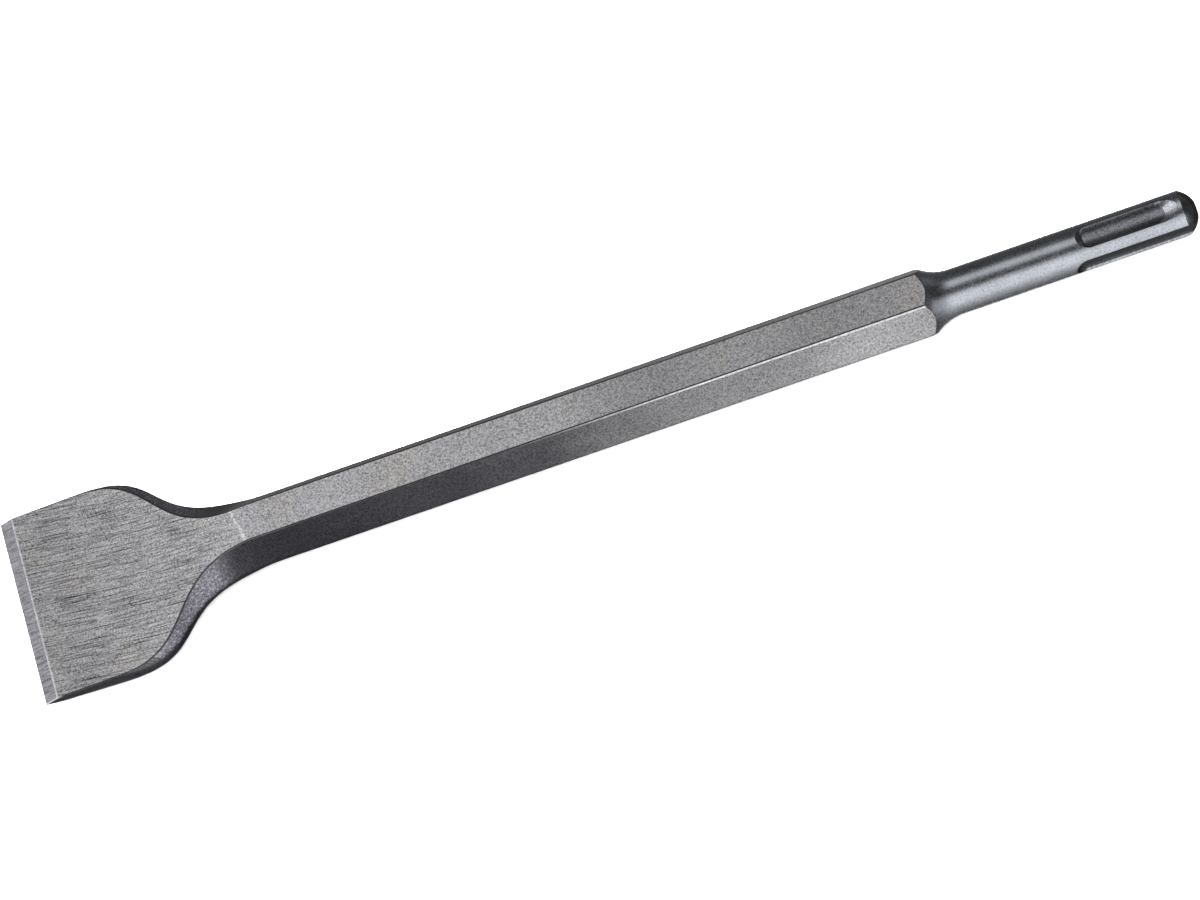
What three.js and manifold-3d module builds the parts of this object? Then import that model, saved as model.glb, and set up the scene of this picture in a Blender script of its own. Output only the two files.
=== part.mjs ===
// Wide flat chisel for a light electric hammer: blade, shoulders, hexagon bar, turned neck
// and 10 mm quick-change shank, forged and machined from one length of hexagon bar.
//
// Millimetres. The chisel lies on a flat of its bar. +X runs from the cutting edge to the
// striking end and +Z is square to the broad faces of the blade. The shape is built with the
// cutting edge at x = 0 on the bar's axis, then moved so that the origin is under the middle.
import * as THREE from 'three';
import { mergeVertices } from 'three/addons/utils/BufferGeometryUtils.js';
import Module from 'manifold-3d';

// Overall sizes.
const overallLength = 265.5;
const bladeWidth = 44;
const hexAcrossFlats = 14;
const shankDiameter = 10;

// Cutting edge and blade.
const edgeLand = 0.3; // thickness left at the cutting edge
const edgeDrop = 0.5; // the edge lies this far below the bar's axis
const bevelLength = 3;
const bevelUpper = 1.15; // from the axis up to the blade's upper face, just behind the bevel
const bevelLower = 1.45;
const bladeUpper = 1.75; // the same, where the broad faces start to climb to the bar
const bladeLower = 2.65;
const sideCrown = 0.15; // how far the blade's sides bulge past its broad faces

// Shoulders: distances from the cutting edge, and how far each curve pulls before it turns.
const faceStart = 18;
const faceEnd = 52.5;
const facePullBlade = 18;
const facePullBar = 21;
const sideStart = 23.3;
const sideEnd = 57.4;
const sidePullBlade = 14.2;
const sidePullBar = 26.2;
const rampKnee = 12; // from faceStart to the point that the two slopes of a face aim at
const rampKneeRise = 0.4;
const shoulderSteps = 18;

// Neck and shank.
const shankLength = 53.7; // cylinder, chamfer and dome, from the neck to the striking end
const neckRadius = 10; // concave
const neckRunOut = 0.8; // the neck's curve goes on this far past the bar's corners
const chamferLength = 1.9;
const chamferDepth = 1.6;
const chamferCrown = 0.15;
const domeRadius = 5.6; // the rounded striking end
const strikingFaceDiameter = 3;
const roundSegments = 48;
const arcSteps = 7;

// Locking grooves, closed at both ends, on the broad-face sides of the shank.
const lockEndGap = 3.7; // from the striking end to the groove
const lockLength = 22.6; // at the surface of the shank
const lockFloorWidth = 4;
const lockDepth = 1.3;
const lockFloorRadius = 6;
const lockWallRun = 1.3; // how far the walls lean out over the groove's depth

// Driving grooves, open at the striking end, on the narrow sides of the shank.
const driveLength = 28.1;
const driveFloorWidth = 4.26;
const driveDepth = 1.2;
const driveWallRun = 0.7;

const cutterMargin = 1; // how far a cutter reaches past the surface it cuts

const hexHalf = hexAcrossFlats / 2;
const hexCorner = hexHalf / Math.cos(Math.PI / 6);
const hexFaceHalf = hexCorner / 2;
const shankRadius = shankDiameter / 2;
const neckEnd = overallLength - shankLength;

const wasm = await Module();
wasm.setup();

function toSolid(geometry) {
  const bare = geometry.clone();
  bare.deleteAttribute('normal');
  bare.deleteAttribute('uv');
  const merged = mergeVertices(bare, 1e-5);
  const corners = Array.from(merged.index.array);
  const kept = [];
  for (let i = 0; i < corners.length; i += 3) {
    const [a, b, c] = corners.slice(i, i + 3);
    if (a !== b && b !== c && c !== a) kept.push(a, b, c);
  }
  return new wasm.Manifold(new wasm.Mesh({
    numProp: 3,
    vertProperties: new Float32Array(merged.attributes.position.array),
    triVerts: new Uint32Array(kept),
  }));
}

function toGeometry(solid) {
  const mesh = solid.getMesh();
  const geometry = new THREE.BufferGeometry();
  geometry.setAttribute('position', new THREE.BufferAttribute(mesh.vertProperties, 3));
  geometry.setIndex(new THREE.BufferAttribute(mesh.triVerts, 1));
  geometry.computeVertexNormals();
  return geometry;
}

// A plan-view curve that leaves the blade's side and arrives at the bar parallel to the axis.
function shoulderCurve(start, end, bladeHalf, barHalf, pullBlade, pullBar) {
  return new THREE.CubicBezierCurve(
    new THREE.Vector2(start, bladeHalf),
    new THREE.Vector2(start + pullBlade, bladeHalf),
    new THREE.Vector2(end - pullBar, barHalf),
    new THREE.Vector2(end, barHalf),
  );
}

// How far a broad face is from the axis at x: it climbs from low at faceStart to the bar's flat.
function rampHeight(x, low) {
  const run = x - faceStart;
  const bend = faceEnd - faceStart - 2 * rampKnee;
  const t = run / (rampKnee + Math.sqrt(rampKnee ** 2 + bend * run));
  return (1 - t) ** 2 * low + 2 * (1 - t) * t * (low + rampKneeRise) + t * t * hexHalf;
}

// Six points around the axis: two side ridges and the four corners of the broad faces.
function ring({ faceX, faceHalf, sideX, sideHalf, upper, lower }) {
  const middle = (upper - lower) / 2;
  return [
    [sideX, sideHalf, middle],
    [faceX, faceHalf, upper],
    [faceX, -faceHalf, upper],
    [sideX, -sideHalf, middle],
    [faceX, -faceHalf, -lower],
    [faceX, faceHalf, -lower],
  ];
}

function bladeRing(x, crown, upper, lower) {
  const faceHalf = bladeWidth / 2 - sideCrown;
  return ring({ faceX: x, faceHalf, sideX: x, sideHalf: faceHalf + crown, upper, lower });
}

function barRing(x) {
  return ring({
    faceX: x, faceHalf: hexFaceHalf, sideX: x, sideHalf: hexCorner, upper: hexHalf, lower: hexHalf,
  });
}

// The forging before it is turned: blade, shoulders and a hexagon bar to past the striking end.
function forgedBlank() {
  const half = bladeWidth / 2;
  const face = shoulderCurve(
    faceStart, faceEnd, half - sideCrown, hexFaceHalf, facePullBlade, facePullBar);
  const side = shoulderCurve(sideStart, sideEnd, half, hexCorner, sidePullBlade, sidePullBar);
  const rings = [
    bladeRing(0, 0, edgeLand / 2 - edgeDrop, edgeLand / 2 + edgeDrop),
    bladeRing(bevelLength, sideCrown / 2, bevelUpper, bevelLower),
  ];
  for (let i = 0; i <= shoulderSteps; i += 1) {
    const faceAt = face.getPoint(i / shoulderSteps);
    const sideAt = side.getPoint(i / shoulderSteps);
    rings.push(ring({
      faceX: faceAt.x, faceHalf: faceAt.y, sideX: sideAt.x, sideHalf: sideAt.y,
      upper: rampHeight(faceAt.x, bladeUpper), lower: rampHeight(faceAt.x, bladeLower),
    }));
  }
  rings.push(barRing(overallLength + cutterMargin));
  return toSolid(loft(rings));
}

// Joins six-point rings, each further along +X than the last, into one closed shape.
function loft(rings) {
  const corners = [];
  for (let i = 0; i + 1 < rings.length; i += 1) {
    for (let j = 0; j < 6; j += 1) {
      const a = i * 6 + j;
      const b = i * 6 + ((j + 1) % 6);
      corners.push(a, b, b + 6, a, b + 6, a + 6);
    }
  }
  const last = (rings.length - 1) * 6;
  corners.push(0, 3, 2, 0, 2, 1, 3, 0, 5, 3, 5, 4);
  for (const [a, b, c] of [[0, 1, 2], [0, 2, 3], [3, 4, 5], [3, 5, 0]]) {
    corners.push(last + a, last + b, last + c);
  }
  const geometry = new THREE.BufferGeometry();
  geometry.setAttribute('position', new THREE.Float32BufferAttribute(rings.flat(2), 3));
  geometry.setIndex(corners);
  return geometry;
}

// Everything the lathe leaves: clear of the forging up to the bar's end, then neck and shank.
function turnedEnvelope() {
  const outside = bladeWidth;
  const startRadius = hexCorner + neckRunOut;
  const startAngle = Math.acos((shankRadius + neckRadius - startRadius) / neckRadius);
  const neckStart = neckEnd - neckRadius * Math.sin(startAngle);
  const chamferEndRadius = shankRadius - chamferDepth;
  const domeCentre = overallLength - Math.sqrt(domeRadius ** 2 - (strikingFaceDiameter / 2) ** 2);
  const domeStart = domeCentre + Math.sqrt(domeRadius ** 2 - chamferEndRadius ** 2);
  const chamferStart = domeStart - chamferLength;
  const profile = new THREE.Path();
  profile.moveTo(0, -cutterMargin);
  profile.lineTo(outside, -cutterMargin);
  profile.lineTo(outside, neckStart);
  profile.absarc(
    shankRadius + neckRadius, neckEnd, neckRadius, Math.PI + startAngle, Math.PI, true);
  profile.lineTo(shankRadius, chamferStart);
  profile.quadraticCurveTo(
    (shankRadius + chamferEndRadius) / 2 + chamferCrown, (chamferStart + domeStart) / 2 + chamferCrown,
    chamferEndRadius, domeStart);
  profile.absarc(
    0, domeCentre, domeRadius, Math.acos(chamferEndRadius / domeRadius),
    Math.acos(strikingFaceDiameter / 2 / domeRadius), false);
  profile.lineTo(0, overallLength);
  return toSolid(alongX(new THREE.LatheGeometry(profile.getPoints(arcSteps), roundSegments)));
}

// Turns a shape made around the Y axis so that it lies along X.
function alongX(geometry) {
  return geometry.rotateZ(-Math.PI / 2);
}

// A round-ended outline along X, from its middle line's near end at x = 0.
function slotOutline(length, width) {
  const r = width / 2;
  const outline = new THREE.Shape();
  outline.absarc(r, 0, r, Math.PI / 2, Math.PI * 1.5, false);
  outline.absarc(length - r, 0, r, -Math.PI / 2, Math.PI / 2, false);
  outline.closePath();
  return outline;
}

// A round-ended cutter with a flat floor, for the +Z side of the shank. From the floor up to the
// shank's surface its walls lean out by wallRun, so its ends are that far outside the floor's.
function slotCutter(start, length, floorWidth, depth, wallRun) {
  const cutter = new THREE.ExtrudeGeometry(slotOutline(length - 2 * wallRun, floorWidth), {
    depth: cutterMargin, curveSegments: arcSteps,
    bevelEnabled: true, bevelSegments: 1, bevelThickness: depth, bevelSize: wallRun,
  });
  return cutter.translate(start + wallRun, 0, shankRadius);
}

// A closed groove with a dished floor.
function lockingGroove() {
  const start = overallLength - lockEndGap - lockLength;
  const floor = shankRadius - lockDepth;
  const walls = slotCutter(start, lockLength, lockFloorWidth, lockDepth, lockWallRun);
  const dish = alongX(new THREE.CylinderGeometry(
    lockFloorRadius, lockFloorRadius, lockLength + 2 * cutterMargin, roundSegments));
  dish.translate(start + lockLength / 2, 0, floor + lockFloorRadius);
  return toSolid(walls).intersect(toSolid(dish));
}

// A flat-bottomed groove that runs out through the striking end, so its far round end is in the air.
function drivingGroove() {
  const farEnd = driveFloorWidth + 2 * driveWallRun;
  const start = overallLength - driveLength;
  return toSolid(slotCutter(start, driveLength + farEnd, driveFloorWidth, driveDepth, driveWallRun));
}

function machinedChisel() {
  let solid = forgedBlank().intersect(turnedEnvelope());
  for (const turn of [0, 180]) {
    solid = solid.subtract(lockingGroove().rotate([turn, 0, 0]));
    solid = solid.subtract(drivingGroove().rotate([turn + 90, 0, 0]));
  }
  return solid;
}

const chisel = new THREE.Mesh(
  toGeometry(machinedChisel()),
  new THREE.MeshStandardMaterial({ color: 0x8f9093, roughness: 0.45, metalness: 0.9 }),
);
chisel.name = 'chisel';
chisel.position.set(-overallLength / 2, 0, hexHalf);

const part = new THREE.Group();
part.add(chisel);

export default part;
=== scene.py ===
import math

import bmesh
import bpy
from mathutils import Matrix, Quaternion, Vector


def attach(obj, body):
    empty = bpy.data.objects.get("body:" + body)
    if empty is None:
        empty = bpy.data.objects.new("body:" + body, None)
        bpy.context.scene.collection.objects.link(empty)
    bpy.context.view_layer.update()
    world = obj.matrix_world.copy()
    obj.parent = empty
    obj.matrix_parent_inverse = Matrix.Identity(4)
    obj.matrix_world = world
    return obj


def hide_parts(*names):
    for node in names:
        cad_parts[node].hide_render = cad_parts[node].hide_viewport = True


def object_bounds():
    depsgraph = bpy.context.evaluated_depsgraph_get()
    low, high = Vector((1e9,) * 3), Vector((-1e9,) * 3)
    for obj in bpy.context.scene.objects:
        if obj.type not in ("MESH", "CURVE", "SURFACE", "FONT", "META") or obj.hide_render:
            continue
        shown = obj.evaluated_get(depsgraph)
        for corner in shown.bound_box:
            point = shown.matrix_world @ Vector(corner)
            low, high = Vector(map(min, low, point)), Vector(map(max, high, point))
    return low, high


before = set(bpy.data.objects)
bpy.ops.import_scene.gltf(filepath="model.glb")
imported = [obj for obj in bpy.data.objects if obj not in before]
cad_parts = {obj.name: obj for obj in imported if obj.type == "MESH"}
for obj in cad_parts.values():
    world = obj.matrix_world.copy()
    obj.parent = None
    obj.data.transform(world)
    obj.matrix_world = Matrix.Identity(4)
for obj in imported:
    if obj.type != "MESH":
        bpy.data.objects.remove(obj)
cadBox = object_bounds()
print("frame loaded")

mm = 0.001
tipX, endX = cadBox[0][0], cadBox[1][0]
floorZ = cadBox[0][2]
hexHalf = (cadBox[1][2] - cadBox[0][2]) / 2  # half across flats
hexCorner = hexHalf / math.cos(math.pi / 6)
bladeHalf = cadBox[1][1]
axisZ = floorZ + hexHalf  # height of the bar's axis
shankRadius = 5 * mm

weldGap = 0.002 * mm  # corners nearer than this are one corner

finishes = ["groundFace", "rolledFlat", "forgedSide", "groundBevel", "turnedSteel", "milledGroove",
            "edgeShadeAndHighlight"]


# helpers for modelling by hand

def startEdit(piece):
    bpy.ops.object.select_all(action="DESELECT")
    piece.select_set(True)
    bpy.context.view_layer.objects.active = piece
    bpy.ops.object.mode_set(mode="EDIT")


def endEdit():
    bpy.ops.object.mode_set(mode="OBJECT")


def pickVerts(piece, test):
    bpy.ops.mesh.select_mode(type="VERT")
    bpy.ops.mesh.select_all(action="DESELECT")
    mesh = bmesh.from_edit_mesh(piece.data)
    for vert in mesh.verts:
        vert.select = test(vert)
    mesh.select_flush_mode()
    bmesh.update_edit_mesh(piece.data)


def pickEdges(piece, test):
    bpy.ops.mesh.select_mode(type="EDGE")
    bpy.ops.mesh.select_all(action="DESELECT")
    mesh = bmesh.from_edit_mesh(piece.data)
    count = 0
    for edge in mesh.edges:
        edge.select = test(edge)
        count += edge.select
    mesh.select_flush_mode()
    bmesh.update_edit_mesh(piece.data)
    return count


def selectedVerts(piece):
    return [vert for vert in bmesh.from_edit_mesh(piece.data).verts if vert.select]


def disc(name, x, radius, corners):
    # a filled circle across the bar's axis, the start of a turned or forged shape
    bpy.ops.object.select_all(action="DESELECT")
    bpy.ops.mesh.primitive_circle_add(
        vertices=corners, radius=radius, fill_type="NGON",
        location=(x, 0, axisZ), rotation=(0, math.pi / 2, 0))
    piece = bpy.context.object
    piece.name = name
    bpy.ops.object.transform_apply(location=True, rotation=True, scale=True)
    return piece


def drawOut(step):
    bpy.ops.mesh.extrude_region_move(TRANSFORM_OT_translate={"value": (step, 0, 0)})


def finishMesh(piece):
    # inside edit mode: one skin, facing out
    bpy.ops.mesh.select_all(action="SELECT")
    bpy.ops.mesh.remove_doubles(threshold=weldGap)
    bpy.ops.mesh.normals_make_consistent(inside=False)
    endEdit()


def applyModifier(piece, kind, **settings):
    bpy.context.view_layer.objects.active = piece
    modifier = piece.modifiers.new(kind.lower(), kind)
    for key, value in settings.items():
        setattr(modifier, key, value)
    bpy.ops.object.modifier_apply(modifier=modifier.name)


def combine(piece, tool, operation):
    applyModifier(piece, "BOOLEAN", object=tool, operation=operation, solver="EXACT", material_mode="INDEX")
    bpy.data.objects.remove(tool, do_unlink=True)


def addFinishes(piece, first):
    for name in finishes:
        piece.data.materials.append(bpy.data.materials[name])
    for face in piece.data.polygons:
        face.material_index = finishes.index(first)


# shader nodes, written as sums

class Wire:
    def __init__(self, nodes, socket):
        self.nodes = nodes
        self.socket = socket

    def maths(self, operation, *values):
        return self.nodes.make("ShaderNodeMath", {"operation": operation}, dict(enumerate(values)))

    def __add__(self, other): return self.maths("ADD", self, other)
    def __radd__(self, other): return self.maths("ADD", other, self)
    def __sub__(self, other): return self.maths("SUBTRACT", self, other)
    def __rsub__(self, other): return self.maths("SUBTRACT", other, self)
    def __mul__(self, other): return self.maths("MULTIPLY", self, other)
    def __rmul__(self, other): return self.maths("MULTIPLY", other, self)
    def __truediv__(self, other): return self.maths("DIVIDE", self, other)
    def __neg__(self): return self.maths("MULTIPLY", self, -1)

    def ease(self, low, high, fromValue=0.0, toValue=1.0):
        return self.nodes.make("ShaderNodeMapRange", {"interpolation_type": "SMOOTHSTEP"}, {
            "Value": self, "From Min": low, "From Max": high, "To Min": fromValue, "To Max": toValue})


class Nodes:
    def __init__(self, tree):
        self.tree = tree

    def make(self, kind, settings, inputs, output=0):
        node = self.tree.nodes.new(kind)
        for key, value in settings.items():
            if key == "stops":
                self.setStops(node.color_ramp, value)
            else:
                setattr(node, key, value)
        for key, value in inputs.items():
            if isinstance(value, Wire):
                self.tree.links.new(value.socket, node.inputs[key])
            else:
                node.inputs[key].default_value = value
        return Wire(self, node.outputs[output])

    def setStops(self, ramp, stops):
        while len(ramp.elements) < len(stops):
            ramp.elements.new(1.0)
        for element, (position, value) in zip(ramp.elements, stops):
            element.position = position
            element.color = grey(value)

    def split(self, vector):
        first = self.make("ShaderNodeSeparateXYZ", {}, {"Vector": vector}, "X")
        return [Wire(self, output) for output in first.socket.node.outputs]


class Finish(Nodes):
    def __init__(self, name):
        self.material = bpy.data.materials.new(name)
        self.material.use_nodes = True
        super().__init__(self.material.node_tree)
        self.shader = self.tree.nodes["Principled BSDF"]
        self.place = self.make("ShaderNodeTexCoord", {}, {}, "Object")
        self.x, self.y, self.z = self.split(self.place)
        self.fromTip = (self.x - tipX) / mm  # millimetres from the cutting edge

    def stretched(self, alongX, alongY=1.0, alongZ=1.0, turn=0.0):
        return self.make("ShaderNodeMapping", {}, {
            "Vector": self.place, "Scale": (alongX, alongY, alongZ), "Rotation": (0, 0, turn)})

    def slanted(self, alongX, slant):
        # flat pattern drawn out nearly along the chisel, its lines leaning towards -Y as they go
        return self.make("ShaderNodeCombineXYZ", {}, {0: self.x * alongX, 1: self.y + self.x * slant, 2: 0.0})

    def distance(self, fromTip, across):
        # millimetres from a place on the broad face
        along, aside = self.fromTip - fromTip, self.y / mm - across
        return along.maths("SQRT", along * along + aside * aside)

    def profile(self, along, stops):
        # a value that changes smoothly from stop to stop
        level, (last, was) = stops[0][1], stops[0]
        for place, value in stops[1:]:
            level = along.ease(last, place, 0.0, value - was) + level
            last, was = place, value
        return level

    def noise(self, scale, detail=2.0, rough=0.5, vector=None):
        # a pattern from about -0.5 to 0.5
        return self.make("ShaderNodeTexNoise", {}, {
            "Vector": self.place if vector is None else vector, "Scale": scale, "Detail": detail,
            "Roughness": rough}, "Fac") - 0.5

    def blend(self, amount, first, second, kind="MIX"):
        return self.make("ShaderNodeMix", {"data_type": "RGBA", "blend_type": kind}, {
            0: amount, 6: first, 7: second}, 2)

    def tinted(self, tone, tint):
        level = self.make("ShaderNodeCombineXYZ", {}, {0: tone, 1: tone, 2: tone})
        return self.blend(1.0, level, tint, "MULTIPLY")

    def connect(self, **sockets):
        names = {"colour": "Base Color", "roughness": "Roughness", "metal": "Metallic", "normal": "Normal"}
        for key, value in sockets.items():
            if isinstance(value, Wire):
                self.tree.links.new(value.socket, self.shader.inputs[names[key]])
            else:
                self.shader.inputs[names[key]].default_value = value

    def relief(self, height, depth):
        self.connect(normal=self.make("ShaderNodeBump", {}, {"Height": height, "Distance": depth}))


def grey(value):
    return (value, value, value, 1)


grainGloss = 0.3  # how much the grain changes the roughness of the ground, rolled and forged finishes

groundFace = {
    "tones": ((0, 0.42), (25, 0.49), (60, 0.54), (122, 0.50),
              (143, 0.37), (163, 0.43), (183, 0.36), (200, 0.41)),  # by millimetres from the cutting edge
    "coolTint": (0.985, 0.985, 1.03, 1), "warmTint": (1.015, 0.99, 0.985, 1),
    "grain": 2.7, "streaks": 1.15, "hairs": 0.42, "hairLevel": (-0.14, -0.2), "cloud": 0.28,
    "linesEnd": (62, 36),  # the fine lines fade out between these places
    "roughness": 0.4, "depth": 0.012 * mm,
    # a painted highlight: a broken bright line along the crease where the blade's ramp meets the bar's flat
    "creaseHighlight": {"place": 51.1, "lean": 0.225, "halfWidth": 0.24, "gain": 0.85},
    "ding": {"place": (24.4, -6.8), "radius": 0.85, "halfWidth": 0.2, "loss": 0.6},
    # from the tip, across, radius, darkening
    "smudges": ((42, -1.5, 1.6, 0.3), (10, 17.6, 1.5, 0.3), (37, 5, 1.2, 0.2)),
}


def makeGroundFace():
    # linished broad faces: fine lines nearly along the chisel on the blade, plain grain on the bar
    f = Finish("groundFace")
    onBlade = f.fromTip.ease(*groundFace["linesEnd"])
    cloud = f.noise(90, 4, 0.6)
    grain = f.noise(2600, 1, 0.8)
    streaks = f.noise(4200, 1, 0.6, f.slanted(0.06, 0.08)) + f.noise(3500, 1, 0.6, f.slanted(0.05, 0.14))
    hairs = f.noise(4300, 0, 0.5, f.slanted(0.02, 0.1)).ease(*groundFace["hairLevel"])
    hairs = (hairs + f.noise(3600, 0, 0.5, f.slanted(0.022, 0.16)).ease(*groundFace["hairLevel"])) * onBlade
    level = f.profile(f.fromTip, groundFace["tones"])
    pattern = 1 + cloud * groundFace["cloud"] + grain * groundFace["grain"]
    pattern = pattern + streaks * onBlade * groundFace["streaks"]
    tone = level * pattern * (1 - hairs * groundFace["hairs"])

    line = groundFace["creaseHighlight"]  # painted highlight: a broken bright line along the crease across the foot of the bar
    away = f.fromTip - line["place"] + f.y / mm * line["lean"] + f.noise(500, 2) * 1.6
    line = away.maths("ABSOLUTE", away).ease(line["halfWidth"] * 1.6, line["halfWidth"] * 0.4) * line["gain"]
    tone = tone * (1 + line * f.noise(900, 2).ease(-0.16, 0.06))
    ding = groundFace["ding"]
    ring = f.distance(*ding["place"]) - ding["radius"]
    ring = ring.maths("ABSOLUTE", ring).ease(ding["halfWidth"] * 1.6, 0) * f.fromTip.ease(25.0, 24.2)
    tone = tone * (1 - ring * ding["loss"])
    for place, across, radius, loss in groundFace["smudges"]:
        spot = (f.distance(place, across) + f.noise(700, 3) * radius * 3).ease(radius, 0) * loss
        tone = tone * (1 - spot)

    warm = f.blend(f.noise(120, 2).ease(-0.02, 0.16), groundFace["coolTint"], groundFace["warmTint"])
    f.connect(colour=f.tinted(tone, warm), metal=1.0,
              roughness=groundFace["roughness"] + grain * grainGloss)
    f.relief(grain * 0.7 + streaks * onBlade * 0.6 - hairs, groundFace["depth"])


rolledFlat = {
    # tones: mostly painted shade along the bar, darkest towards the blade, with dark forge scale near the
    # blade
    "tones": ((62, 0.036), (95, 0.058), (113, 0.082), (133, 0.185),
              (153, 0.25), (173, 0.285), (193, 0.41), (203, 0.38)),
    "scaleTint": (1.0, 0.985, 1.13, 1), "bareTint": (1.01, 0.995, 1.03, 1),
    "bareFrom": (95, 140), "ragged": 24,  # where the bluish scale tint ends, and how unevenly the painted shade changes, in millimetres
    "grain": 2.6, "roughness": 0.42, "depth": 0.012 * mm,
}


def makeRolledFlat():
    # the bar's other flats: mostly painted shade, darkest towards the blade and lighter towards the shank,
    # with dark forge scale near the blade
    f = Finish("rolledFlat")
    grain = f.noise(2600, 1, 0.8)
    cloud = f.noise(90, 3, 0.5, f.stretched(0.4))
    # mostly painted shade, darkest towards the blade and lighter towards the shank
    tone = f.profile(f.fromTip + cloud * rolledFlat["ragged"], rolledFlat["tones"])
    tone = tone * (1 + grain * rolledFlat["grain"] + cloud * 0.3)
    tint = f.blend(f.fromTip.ease(*rolledFlat["bareFrom"]), rolledFlat["scaleTint"], rolledFlat["bareTint"])
    f.connect(colour=f.tinted(tone, tint), metal=1.0,
              roughness=rolledFlat["roughness"] + grain * grainGloss)
    f.relief(grain, rolledFlat["depth"])


forgedSide = {
    "tones": ((30, 0.07), (58, 0.037)),
    # the band, pitted and lighter on the sides' upper part as a painted highlight: where it begins and ends,
    # and the height of its foot above the axis
    "bandStart": (21, 26), "bandEnd": (49, 38), "bandFoot": ((25, 1.4), (45, 0.4)),
    "bandHighlight": 0.2, "speckTone": 0.42,
    "roughness": 0.42, "depth": 0.05 * mm,
}


def makeForgedSide():
    # hammer scale on the blade's sides; the upper part of the shoulders is pitted and carries a painted
    # highlight
    f = Finish("forgedSide")
    onShoulder = f.fromTip.ease(*forgedSide["bandStart"]) * f.fromTip.ease(*forgedSide["bandEnd"])
    rise = (f.z - axisZ) / mm - f.profile(f.fromTip, forgedSide["bandFoot"]) + f.noise(500, 3) * 1.4
    pittedHighlightBand = rise.ease(-0.5, 0.6) * onShoulder
    grain = f.noise(2600, 1, 0.8)
    cloud = f.noise(90, 3, 0.5, f.stretched(0.4))
    pits = f.noise(1900, 2, 0.8)
    tone = f.profile(f.fromTip, forgedSide["tones"]) * (1 + grain * rolledFlat["grain"] + cloud * 0.3)
    # painted highlight over the band, on the sides' upward-facing upper part
    tone = tone + pittedHighlightBand * (forgedSide["bandHighlight"] * (1 + grain * 2))
    tone = tone + pits.ease(-0.02, 0.16) * pittedHighlightBand * forgedSide["speckTone"]
    f.connect(colour=f.tinted(tone, rolledFlat["scaleTint"]), metal=1.0,
              roughness=forgedSide["roughness"] + grain * grainGloss)
    f.relief(grain * 0.24 + pits * pittedHighlightBand, forgedSide["depth"])


groundBevel = {
    "tone": 0.265, "strokes": 1.7, "grain": 1.4, "marks": 0.4, "tint": (0.985, 0.98, 1.06, 1),
    "roughness": 0.38, "depth": 0.012 * mm,
}


def makeGroundBevel():
    # ground across the edge, in short strokes
    f = Finish("groundBevel")
    strokes = f.noise(2500, 1, 0.65, f.slanted(0.12, 0.12))
    grain = f.noise(2600, 1, 0.8)
    marks = f.noise(1700, 1, 0.5, f.slanted(0.1, 0.05)).ease(-0.12, -0.2)
    tone = groundBevel["tone"] * (1 + strokes * groundBevel["strokes"] + grain * groundBevel["grain"])
    tone = tone * (1 - marks * groundBevel["marks"])
    f.connect(colour=f.tinted(tone, groundBevel["tint"]), metal=1.0,
              roughness=groundBevel["roughness"] + grain * 0.1)
    f.relief(strokes, groundBevel["depth"])


turnedSteel = {
    "tone": 0.42, "grain": 1.25, "cloud": 0.45, "tint": (0.94, 0.985, 1.08, 1),
    "endShade": 0.55, "endStart": (-2.85, -2.55),  # painted shade on the chamfered end, and where it starts by millimetres from the striking end
    "roughness": 0.25, "depth": 0.006 * mm,
}


def makeTurnedSteel():
    # fine bead-blasted look, a little blue, with painted shade on the chamfered end
    f = Finish("turnedSteel")
    grain = f.noise(2500, 1, 0.8)
    cloud = f.noise(160, 3)
    fromEnd = (f.x - endX) / mm + f.noise(600, 2) * 0.8
    # painted shade on the chamfered end, standing in for its dark reflection
    scale = fromEnd.ease(*turnedSteel["endStart"]) * turnedSteel["endShade"]
    tone = turnedSteel["tone"] * (1 + grain * turnedSteel["grain"] + cloud * turnedSteel["cloud"])
    tone = tone * (1 - scale)
    f.connect(colour=f.tinted(tone, turnedSteel["tint"]), metal=1.0,
              roughness=turnedSteel["roughness"] + grain * 0.25)
    f.relief(grain, turnedSteel["depth"])


grooves = {
    "lockEndGap": 3.7, "lockRamp": 1.7, "lockLength": 22.6, "lockFloorWidth": 4, "lockDepth": 1.3,
    "lockFloorRadius": 5.2, "lockWallRun": 1.3,
    "driveLength": 28.1, "driveFloorWidth": 4.26, "driveDepth": 1.2, "driveWallRun": 0.7,
    "arcCorners": 64, "reach": 1.2,
}

milledGroove = {
    "tone": 0.24, "tint": (0.95, 0.985, 1.08, 1),
    "side": (2.6 * mm, 3.2 * mm),  # past this distance from the middle a groove is one at the sides
    # painted shade on the driving grooves' floors, painted highlights on their lower walls and on the lock
    # grooves' end ramps
    "sideFloorShade": 0.55, "sideFloor": (-2.3, -2.0), "sideWallHighlight": 1.0, "rampHighlight": 1.3,
    "roughness": 0.23, "depth": 0.006 * mm,
}


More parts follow.
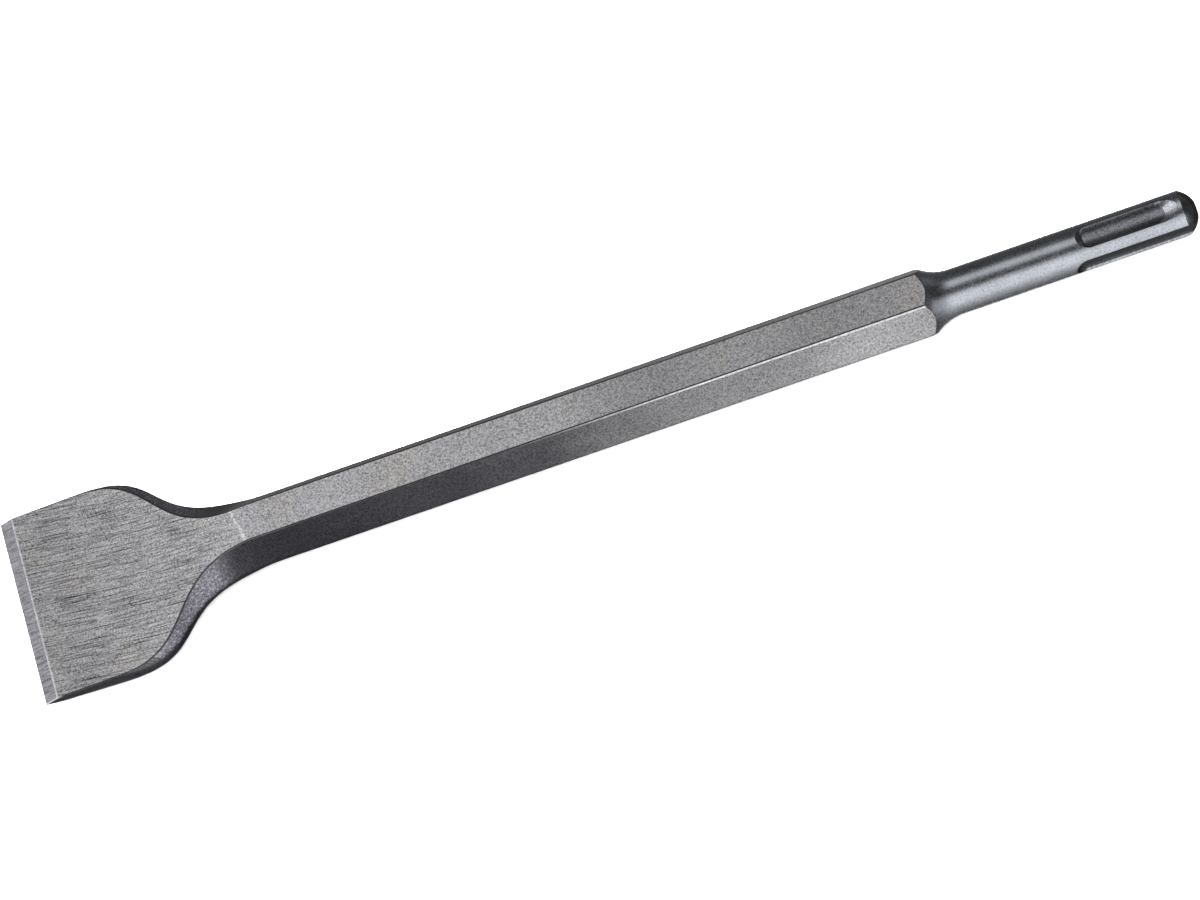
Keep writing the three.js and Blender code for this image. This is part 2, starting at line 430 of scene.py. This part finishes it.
def makeMilledGroove():
    # painted shade on the floors of the two driving grooves at the sides, painted highlights on their lower
    # walls and on the lock grooves' end ramps
    f = Finish("milledGroove")
    grain = f.noise(2400, 1, 0.8)
    cloud = f.noise(300, 3, 0.5, f.stretched(0.4))
    atSide = f.y.maths("ABSOLUTE", f.y).ease(*milledGroove["side"])
    # painted shade on the driving grooves' floors, painted highlight on their lower walls
    floor = atSide * ((f.z - axisZ) / mm).ease(*milledGroove["sideFloor"])
    tone = milledGroove["tone"] * (1 + grain * 1.8 + cloud * 1.1) * (1 - floor * milledGroove["sideFloorShade"])
    tone = tone * (1 + (atSide - floor) * milledGroove["sideWallHighlight"])
    # painted highlight on the lock grooves' end ramps
    fromEnd = (f.x - endX) / mm + grooves["lockEndGap"] + grooves["lockWallRun"] + grooves["lockRamp"]
    fromEnd, across = fromEnd + grooves["lockFloorWidth"] / 2, f.y / mm
    ramp = fromEnd.maths("SQRT", fromEnd * fromEnd + across * across) - grooves["lockFloorWidth"] / 2
    ramp = ramp.ease(-0.1, 0.15) * fromEnd.ease(0.2, 1.0) * (1 - atSide)
    tone = tone * (1 + ramp * milledGroove["rampHighlight"])
    f.connect(colour=f.tinted(tone, milledGroove["tint"]), metal=1.0,
              roughness=milledGroove["roughness"] + grain * 0.2)
    f.relief(grain, milledGroove["depth"])


edgeShadeAndHighlight = {
    "tone": 0.1, "crestHighlight": 0.56, "crestEnd": 4.5,  # painted shade on the edges, painted highlight along the top of the cutting edge's bevel
    "roughness": 0.32, "tint": (0.98, 0.99, 1.03, 1),
    # the bar's edges: painted shade above the split, painted highlight below it towards the shank
    "barShade": 0.06, "barHighlight": 0.62, "split": -0.075,
    "barStart": (56, 64), "barEnd": (209, 206), "brightFrom": (105, 160),
}


def makeEdgeShadeAndHighlight():
    # the narrow rounded edges: painted shade round the blade and on the shank's broken edges, painted
    # highlights on the bevel's crest and low on the bar's edges
    f = Finish("edgeShadeAndHighlight")
    grain = f.noise(1500, 2, 0.7)
    belowTop = (f.z - axisZ - hexHalf) / mm
    onBar = f.fromTip.ease(*edgeShadeAndHighlight["barStart"]) * f.fromTip.ease(*edgeShadeAndHighlight["barEnd"])
    # painted shade above the split and painted highlight below it, along the bar's edges
    lit = belowTop.ease(edgeShadeAndHighlight["split"] + 0.02, edgeShadeAndHighlight["split"] - 0.02)
    lit = lit * f.fromTip.ease(*edgeShadeAndHighlight["brightFrom"])
    bar = edgeShadeAndHighlight["barShade"] + lit * (edgeShadeAndHighlight["barHighlight"] - edgeShadeAndHighlight["barShade"])
    # painted highlight along the bevel's crest; painted shade on the other rounded edges
    crestHighlight = f.fromTip.ease(edgeShadeAndHighlight["crestEnd"], edgeShadeAndHighlight["crestEnd"] - 1)
    tone = edgeShadeAndHighlight["tone"] * (1 - crestHighlight) + crestHighlight * edgeShadeAndHighlight["crestHighlight"]
    tone = (tone * (1 - onBar) + bar * onBar) * (1 + grain * 1.6)
    f.connect(colour=f.tinted(tone, edgeShadeAndHighlight["tint"]), metal=1.0, roughness=edgeShadeAndHighlight["roughness"])


for makeFinish in (makeGroundFace, makeRolledFlat, makeForgedSide, makeGroundBevel, makeTurnedSteel,
                   makeMilledGroove, makeEdgeShadeAndHighlight):
    makeFinish()
print("finishes made")


# the forging: blade, shoulders and hexagon bar

forging = {
    "edgeLand": 0.3, "edgeDrop": 0.5,  # thickness at the cutting edge, and how far it is below the axis
    "bevelLength": 3, "bevelUpper": 1.15, "bevelLower": 1.45,
    "bladeUpper": 1.75, "bladeLower": 2.65,
    "sideCrown": 0.15,
    "face": (18, 18, 21, 52.5),  # start, pull at the blade, pull at the bar, end
    "side": (23.3, 14.2, 26.2, 57.4),
    "rampKnee": 12, "rampKneeRise": 0.4,
    "steps": 44, "barSteps": 30,
    "ridgeRound": 2.3, "ridgeRoundBar": 0.35,  # the side ridges, soft on the shoulders
    "ridgeSwell": 0.33,  # the ridge stands out by this share of its rounding, which takes it back again
    "outlineRound": 0.24, "outlineRoundBar": 0.42, "crestRound": 0.22,
    "drawStep": 1, "barGap": 2, "barOverrun": 1,  # the blank runs on past the striking end, for turning
}


def smooth(low, high, value):
    t = min(max((value - low) / (high - low), 0), 1)
    return t * t * (3 - 2 * t)


def ridgeWidth(x):
    if x < forging["face"][0]:
        return 0
    soft = forging["ridgeRound"] + (forging["ridgeRoundBar"] - forging["ridgeRound"]) * smooth(44, 60, x)
    return soft * (0.2 + 0.8 * smooth(17, 27, x))


def shoulderPoint(curve, fromHalf, toHalf, t):
    start, pullBlade, pullBar, end = (value * mm for value in curve)
    xs = (start, start + pullBlade, end - pullBar, end)
    ys = (fromHalf, fromHalf, toHalf, toHalf)
    weights = ((1 - t) ** 3, 3 * (1 - t) ** 2 * t, 3 * (1 - t) * t ** 2, t ** 3)
    return sum(w * x for w, x in zip(weights, xs)), sum(w * y for w, y in zip(weights, ys))


def swollenPoint(curve, fromHalf, toHalf, t):
    # the curve's point, moved square to the curve
    x, y = shoulderPoint(curve, fromHalf, toHalf, t)
    step = 0.001
    a = Vector(shoulderPoint(curve, fromHalf, toHalf, max(t - step, 0)))
    b = Vector(shoulderPoint(curve, fromHalf, toHalf, min(t + step, 1)))
    along = (b - a).normalized()
    out = ridgeWidth(x / mm) * forging["ridgeSwell"] * mm * smooth(60, 50, x / mm)
    return x - along.y * out, y + along.x * out


def rampHeight(x, low):
    start, end, knee = forging["face"][0] * mm, forging["face"][3] * mm, forging["rampKnee"] * mm
    run = x - start
    t = run / (knee + math.sqrt(knee ** 2 + (end - start - 2 * knee) * run)) if run else 0.0
    return (1 - t) ** 2 * low + 2 * (1 - t) * t * (low + forging["rampKneeRise"] * mm) + t * t * hexHalf


def placeRing(piece, faceX, faceHalf, sideX, sideHalf, upper, lower):
    # moves the six selected corners, in pairs, to their places around the axis
    ring = sorted(selectedVerts(piece), key=lambda vert: vert.co.z)
    pairs = [
        (ring[:2], faceX, faceHalf, axisZ - lower),
        (ring[2:4], sideX, sideHalf, axisZ + (upper - lower) / 2),
        (ring[4:], faceX, faceHalf, axisZ + upper),
    ]
    moves = [({vert.index for vert in pair}, pair[0].co.copy(), x, half, z) for pair, x, half, z in pairs]
    for indices, was, x, half, z in moves:
        pickVerts(piece, lambda vert: vert.index in indices)
        bpy.ops.transform.resize(value=(1, half / abs(was.y), 1), center_override=(was.x, 0, was.z))
        bpy.ops.transform.translate(value=(tipX + x - was.x, 0, z - was.z))
    everyCorner = set().union(*(move[0] for move in moves))
    pickVerts(piece, lambda vert: vert.index in everyCorner)


def forgeBlank():
    piece = disc("chiselBody", tipX, hexCorner, 6)
    half = bladeHalf
    faceHalf = half - forging["sideCrown"] * mm
    land, drop = forging["edgeLand"] * mm / 2, forging["edgeDrop"] * mm
    bevelX = forging["bevelLength"] * mm
    startEdit(piece)
    pickVerts(piece, lambda vert: abs(vert.co.z - axisZ) < 0.1 * mm)
    bpy.ops.object.vertex_group_assign_new()  # the side ridges; what is drawn out of them stays in the group
    bpy.ops.mesh.select_all(action="SELECT")
    placeRing(piece, 0, faceHalf, 0, faceHalf, land - drop, land + drop)
    drawOut(bevelX)
    placeRing(piece, bevelX, faceHalf, bevelX, (faceHalf + half) / 2,
              forging["bevelUpper"] * mm, forging["bevelLower"] * mm)
    for i in range(forging["steps"] + 1):
        faceX, faceY = shoulderPoint(forging["face"], faceHalf, hexCorner / 2, i / forging["steps"])
        sideX, sideY = swollenPoint(forging["side"], half, hexCorner, i / forging["steps"])
        drawOut(forging["drawStep"] * mm)
        upper = rampHeight(faceX, forging["bladeUpper"] * mm)
        lower = rampHeight(faceX, forging["bladeLower"] * mm)
        placeRing(piece, faceX, faceY, sideX, sideY, upper, lower)
    barStart = forging["side"][3] * mm + forging["barGap"] * mm
    barEnd = endX - tipX + forging["barOverrun"] * mm
    for i in range(forging["barSteps"] + 1):
        drawOut(forging["drawStep"] * mm)
        x = barStart + (barEnd - barStart) * i / forging["barSteps"]
        placeRing(piece, x, hexCorner / 2, x, hexCorner, hexHalf, hexHalf)
    finishMesh(piece)
    return piece


def paintFaces(piece):
    # which finish each face of the forging gets, by where it looks
    for face in piece.data.polygons:
        x = (face.center.x - tipX) / mm
        if abs(face.normal.x) > 0.9:
            name = "groundBevel"
        elif abs(face.normal.z) > 0.75 and x < forging["bevelLength"]:
            name = "groundBevel"
        elif abs(face.normal.z) > 0.75:
            name = "groundFace"
        elif x < forging["side"][3] + 1:
            name = "forgedSide"
        else:
            name = "rolledFlat"
        face.material_index = finishes.index(name)


def outlineWidth(x, span, isRidge, onCrest):
    if isRidge or x < 0.1:
        return None
    if span.x > 0.05 * mm:
        fade = smooth(60, 190, x)
        return forging["outlineRound"] * (1 - fade) + forging["outlineRoundBar"] * fade
    if onCrest and span.y > 4 * mm and x < 5:
        return forging["crestRound"]
    return None


def roundEdges(piece, findWidth, segments, finish):
    # each long edge gets its own rounding, as a share of the widest one
    ridgeGroup = piece.vertex_groups[0].index
    onRidge = [any(g.group == ridgeGroup and g.weight > 0.4 for g in vert.groups)
               for vert in piece.data.vertices]
    widths = {}
    for edge in piece.data.edges:
        a, b = (piece.data.vertices[i].co for i in edge.vertices)
        middle = ((a + b) / 2 - Vector((tipX, 0, 0))) / mm
        span = Vector([abs(value) for value in b - a])
        ridges = [onRidge[i] for i in edge.vertices]
        if ridges[0] != ridges[1] or (all(ridges) and span.y > 4 * mm) or span.z > 2 * mm and span.x < span.z:
            continue
        width = findWidth(middle.x, span, all(ridges), a.z > axisZ or b.z > axisZ)
        if width:
            widths[edge.index] = width
    widest = max(widths.values())
    weights = piece.data.attributes.new("bevel_weight_edge", "FLOAT", "EDGE")
    for index, width in widths.items():
        weights.data[index].value = width / widest
    applyModifier(piece, "BEVEL", width=widest * mm, segments=segments, limit_method="WEIGHT",
                  use_clamp_overlap=False, material=finishes.index(finish) if finish else -1)
    piece.data.attributes.remove(piece.data.attributes["bevel_weight_edge"])


def bevelEdges(piece, test, width, segments):
    startEdit(piece)
    count = pickEdges(piece, test)
    bpy.ops.mesh.bevel(offset=width, segments=segments, affect="EDGES", clamp_overlap=False,
                       material=finishes.index("edgeShadeAndHighlight"))
    bpy.ops.mesh.select_all(action="DESELECT")
    endEdit()
    print("   edges rounded:", count)


def sharp(edge, degrees):
    return len(edge.link_faces) == 2 and edge.calc_face_angle(0) > math.radians(degrees)


def makeForging():
    piece = forgeBlank()
    addFinishes(piece, "rolledFlat")
    paintFaces(piece)
    roundEdges(piece, lambda x, span, isRidge, onCrest: isRidge and ridgeWidth(x), 6, None)
    roundEdges(piece, outlineWidth, 2, "edgeShadeAndHighlight")
    piece.vertex_groups.clear()
    print("forging made")
    return piece


# lathe and milling work

turning = {
    "segments": 160,
    "shankLength": 53.7, "neckRadius": 10, "neckRunOut": 0.8,
    "chamferLength": 1.9, "chamferDepth": 1.6, "chamferCrown": 0.15,
    "domeRadius": 5.6, "strikingFace": 3,
    "arcSteps": 16, "endSteps": 8,
    "brokenEdge": 0.08, "weldGap": 0.02, "sharpAngle": 24, "longestEdge": 40,
}

smoothAngle = 21  # degrees; flatter joins between faces are shaded smooth


def turningProfile():
    # (distance from the cutting edge, radius) from the bar's end to the striking end
    length = (endX - tipX) / mm
    shank, neck = shankRadius / mm, turning["neckRadius"]
    neckEnd = length - turning["shankLength"]
    startRadius = hexCorner / mm + turning["neckRunOut"]
    startAngle = math.acos((shank + neck - startRadius) / neck)
    points = []
    for i in range(turning["arcSteps"] + 1):
        angle = startAngle * (1 - i / turning["arcSteps"])
        points.append((neckEnd - neck * math.sin(angle), shank + neck * (1 - math.cos(angle))))
    chamferEnd = shank - turning["chamferDepth"]
    dome, flat = turning["domeRadius"], turning["strikingFace"] / 2
    domeCentre = length - math.sqrt(dome ** 2 - flat ** 2)
    domeStart = domeCentre + math.sqrt(dome ** 2 - chamferEnd ** 2)
    chamferStart = domeStart - turning["chamferLength"]
    crown = turning["chamferCrown"]
    pull = ((chamferStart + domeStart) / 2 + crown, (shank + chamferEnd) / 2 + crown)
    for i in range(turning["endSteps"] + 1):
        t = i / turning["endSteps"]
        points.append(tuple(
            (1 - t) ** 2 * a + 2 * (1 - t) * t * p + t * t * b
            for a, p, b in zip((chamferStart, shank), pull, (domeStart, chamferEnd))))
    for i in range(1, turning["endSteps"] + 1):
        radius = chamferEnd + (flat - chamferEnd) * i / turning["endSteps"]
        points.append((domeCentre + math.sqrt(dome ** 2 - radius ** 2), radius))
    return points


def turnToProfile(forged):
    profile = turningProfile()
    outside = 2 * bladeHalf
    tool = disc("turnedEnvelope", tipX - 1 * mm, outside, turning["segments"])
    startEdit(tool)
    bpy.ops.mesh.select_all(action="SELECT")
    x, radius = -1.0, outside / mm
    for nextX, nextRadius in [(profile[0][0], outside / mm)] + profile:
        drawOut((nextX - x) * mm)
        factor = nextRadius / radius
        bpy.ops.transform.resize(value=(1, factor, factor), center_override=(tipX + nextX * mm, 0, axisZ))
        x, radius = nextX, nextRadius
    finishMesh(tool)
    addFinishes(tool, "turnedSteel")
    combine(forged, tool, "INTERSECT")
    print("neck and shank turned")


def slotDisc(name, start, length, width, z):
    # a circle at the start of the slot, with its far half moved to the slot's end
    bpy.ops.object.select_all(action="DESELECT")
    bpy.ops.mesh.primitive_circle_add(
        vertices=grooves["arcCorners"], radius=width / 2, fill_type="NGON",
        location=(start + width / 2, 0, z))
    piece = bpy.context.object
    piece.name = name
    bpy.ops.object.transform_apply(location=True, rotation=True, scale=True)
    startEdit(piece)
    middle = start + width / 2
    pickVerts(piece, lambda vert: vert.co.x > middle + 1e-7)
    bpy.ops.transform.translate(value=(length - width, 0, 0))
    bpy.ops.mesh.select_all(action="SELECT")
    return piece


def flareSlot(piece, start, length, width, rise, run):
    # draws the slot up while its rim grows outwards by run
    bpy.ops.mesh.extrude_region_move(TRANSFORM_OT_translate={"value": (0, 0, rise)})
    rim = {vert.index for vert in selectedVerts(piece)}
    top = selectedVerts(piece)[0].co.z
    factor = (width / 2 + run) / (width / 2)
    centres = (start + width / 2, start + length - width / 2)
    middle = sum(centres) / 2
    for centre, isHere in zip(centres, (lambda x: x < middle, lambda x: x >= middle)):
        pickVerts(piece, lambda vert: vert.index in rim and isHere(vert.co.x))
        bpy.ops.transform.resize(value=(factor, factor, 1), center_override=(centre, 0, top))
    pickVerts(piece, lambda vert: vert.index in rim)


def slotCutter(name, start, length, floorWidth, depth, run):
    # from its floor up to the shank's surface the cutter's walls lean out by run
    start, length, width = start + run * mm, (length - 2 * run) * mm, floorWidth * mm
    cutter = slotDisc(name, start, length, width, axisZ + shankRadius - depth * mm)
    flareSlot(cutter, start, length, width, depth * mm, run * mm)
    bpy.ops.mesh.extrude_region_move(TRANSFORM_OT_translate={"value": (0, 0, grooves["reach"] * mm)})
    finishMesh(cutter)
    addFinishes(cutter, "milledGroove")
    return cutter


def lockCutter():
    start = endX - (grooves["lockEndGap"] + grooves["lockLength"]) * mm
    length = grooves["lockLength"] * mm
    cutter = slotCutter("lockCutter", start, grooves["lockLength"], grooves["lockFloorWidth"],
                        grooves["lockDepth"], grooves["lockWallRun"])
    floor = axisZ + shankRadius - grooves["lockDepth"] * mm
    startEdit(cutter)
    pickVerts(cutter, lambda vert: vert.co.z < floor + 0.01 * mm and vert.co.x > start + length / 2)
    bpy.ops.transform.translate(value=(-grooves["lockRamp"] * mm, 0, 0))
    endEdit()
    radius = grooves["lockFloorRadius"] * mm
    bpy.ops.object.select_all(action="DESELECT")
    bpy.ops.mesh.primitive_cylinder_add(
        vertices=192, radius=radius, depth=length + 10 * mm, rotation=(0, math.pi / 2, 0),
        location=(start + length / 2, 0, floor + radius))
    dish = bpy.context.object
    bpy.ops.object.transform_apply(location=True, rotation=True, scale=True)
    addFinishes(dish, "milledGroove")
    combine(cutter, dish, "INTERSECT")
    return cutter


def driveCutter():
    # its far round end is past the striking end, in the air
    start = endX - grooves["driveLength"] * mm
    overrun = grooves["driveFloorWidth"] + 2 * grooves["driveWallRun"]
    return slotCutter("driveCutter", start, grooves["driveLength"] + overrun, grooves["driveFloorWidth"],
                      grooves["driveDepth"], grooves["driveWallRun"])


def turnAbout(piece, degrees):
    startEdit(piece)
    bpy.ops.mesh.select_all(action="SELECT")
    bpy.ops.transform.rotate(value=math.radians(degrees), orient_axis="X", center_override=(0, 0, axisZ))
    endEdit()


def millGrooves(piece):
    for turn in (0, 180):
        for makeCutter, quarter in ((lockCutter, 0), (driveCutter, 90)):
            cutter = makeCutter()
            turnAbout(cutter, turn + quarter)
            combine(piece, cutter, "DIFFERENCE")
    print("grooves milled")


def breakMachinedEdges(piece):
    neckStart = endX - (turning["shankLength"] + turning["neckRadius"] + 1) * mm
    startEdit(piece)
    bpy.ops.mesh.select_all(action="SELECT")
    bpy.ops.mesh.remove_doubles(threshold=turning["weldGap"] * mm)
    endEdit()
    bevelEdges(piece, lambda edge: sharp(edge, turning["sharpAngle"])
               and min(v.co.x for v in edge.verts) > neckStart
               and edge.calc_length() < turning["longestEdge"] * mm, turning["brokenEdge"] * mm, 2)


chisel = makeForging()
turnToProfile(chisel)
millGrooves(chisel)
breakMachinedEdges(chisel)
bpy.ops.object.select_all(action="DESELECT")
chisel.select_set(True)
bpy.context.view_layer.objects.active = chisel
bpy.ops.object.shade_smooth_by_angle(angle=math.radians(smoothAngle))
applyModifier(chisel, "WEIGHTED_NORMAL", keep_sharp=True)  # flats stay flat beside their rounded edges
print("chisel:", len(chisel.data.polygons), "faces")

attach(chisel, "root")
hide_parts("chisel")


# floor, light and camera

studio = {
    "floorSize": 12.0, "floorTone": 0.8,
    "backdrop": {"height": 6.0, "glow": 0.7},
    "overhead": {"place": (0.0, -0.3, 2.4), "size": 2.4, "watts": 330},
    "camera": {"turn": 10.405, "rise": 65.571, "roll": -28.532, "distance": 1.20649, "lens": 170.12},
    "aim": (-3.33 * mm, -7.87 * mm, 7.0 * mm),
}

# brightness all round the chisel's length, by degrees from straight up towards the front
softboxRing = ((-180, 0.45), (-144, 0.62), (-112, 0.12), (-66, 0.08), (-46, 0.15), (-39, 0.4),
               (-30, 1.0), (-12, 1.0), (-2, 0.4), (6, 0.12), (22, 0.1), (35, 0.85),
               (48, 1.45), (84, 1.45), (94, 1.1), (112, 0.75), (135, 0.4), (158, 0.2))
# brightness past the striking end, past the cutting edge, and behind the neck
ends = {"front": 0.14, "back": 1.3, "behind": 0.2}
shoulderDim = 0.55  # how much the front softbox fades towards the striking end


def makeFloor():
    bpy.ops.object.select_all(action="DESELECT")
    bpy.ops.mesh.primitive_plane_add(size=studio["floorSize"], location=(0, 0, floorZ))
    floor = bpy.context.object
    floor.name = "floor"
    finish = Finish("paleFloor")
    finish.connect(colour=grey(studio["floorTone"]), roughness=0.9)
    floor.data.materials.append(finish.material)
    floor.visible_glossy = False  # the steel mirrors the softboxes and not the floor


def makeBackdrop():
    # a lit pale wall all round, which the steel doesn't mirror and which takes no light from the chisel
    bpy.ops.object.select_all(action="DESELECT")
    settings = studio["backdrop"]
    bpy.ops.mesh.primitive_cylinder_add(
        vertices=96, radius=studio["floorSize"] / 2, depth=settings["height"], end_fill_type="NOTHING",
        location=(0, 0, floorZ + settings["height"] / 2))
    wall = bpy.context.object
    wall.name = "backdrop"
    finish = Finish("paleBackdrop")
    finish.connect(colour=grey(studio["floorTone"]), roughness=0.9)
    finish.shader.inputs["Emission Color"].default_value = grey(1.0)
    finish.shader.inputs["Emission Strength"].default_value = settings["glow"]
    wall.data.materials.append(finish.material)
    wall.visible_glossy = wall.visible_diffuse = wall.visible_shadow = False


def makeOverhead():
    settings = studio["overhead"]
    bpy.ops.object.light_add(type="AREA", location=settings["place"])
    light = bpy.context.object
    light.name = "overhead"
    light.data.size = settings["size"]
    light.data.energy = settings["watts"]
    light.visible_glossy = False
    light.rotation_euler = (-Vector(settings["place"])).to_track_quat("-Z", "Y").to_euler()


def makeWorld():
    world = bpy.data.worlds.new("softboxes")
    world.use_nodes = True
    bpy.context.scene.world = world
    nodes = Nodes(world.node_tree)
    x, y, z = nodes.split(nodes.make("ShaderNodeTexCoord", {}, {}, "Generated"))
    around = y.maths("ARCTAN2", -y, z) / (2 * math.pi) + 0.5
    stops = [((angle + 180) / 360, value) for angle, value in softboxRing]
    ring = nodes.make("ShaderNodeValToRGB", {"stops": stops}, {"Fac": around})
    toFront = x.ease(0.1, 0.5) * y.ease(-0.25, 0.0)  # the overhead softbox stops short of the striking end
    level = ring * (1 - toFront) + ends["front"] * toFront
    level = level * (1 - x.ease(0.15, 0.7) * shoulderDim)
    behind = x.ease(0.35, 0.65) * y.ease(0.42, 0.6) * z.ease(-0.3, 0.05)
    level = level * (1 - behind) + ends["behind"] * behind
    for name, near, far in (("front", 0.86, 0.96), ("back", -0.5, -0.8)):
        share = x.ease(near, far)
        level = level * (1 - share) + ends[name] * share
    background = world.node_tree.nodes["Background"]
    world.node_tree.links.new(level.socket, background.inputs["Color"])


def makeCamera():
    view = studio["camera"]
    turn, rise, roll = (math.radians(view[key]) for key in ("turn", "rise", "roll"))
    back = Vector((math.sin(turn) * math.cos(rise), -math.cos(turn) * math.cos(rise), math.sin(rise)))
    bpy.ops.object.camera_add(location=Vector(studio["aim"]) + back * view["distance"])
    camera = bpy.context.object
    camera.data.lens = view["lens"]
    level = (-back).to_track_quat("-Z", "Y")
    camera.rotation_euler = (level @ Quaternion((0, 0, 1), roll)).to_euler()
    bpy.context.scene.camera = camera


makeFloor()
makeBackdrop()
makeOverhead()
makeWorld()
makeCamera()
bpy.context.scene.view_settings.view_transform = "Standard"
print("studio set")
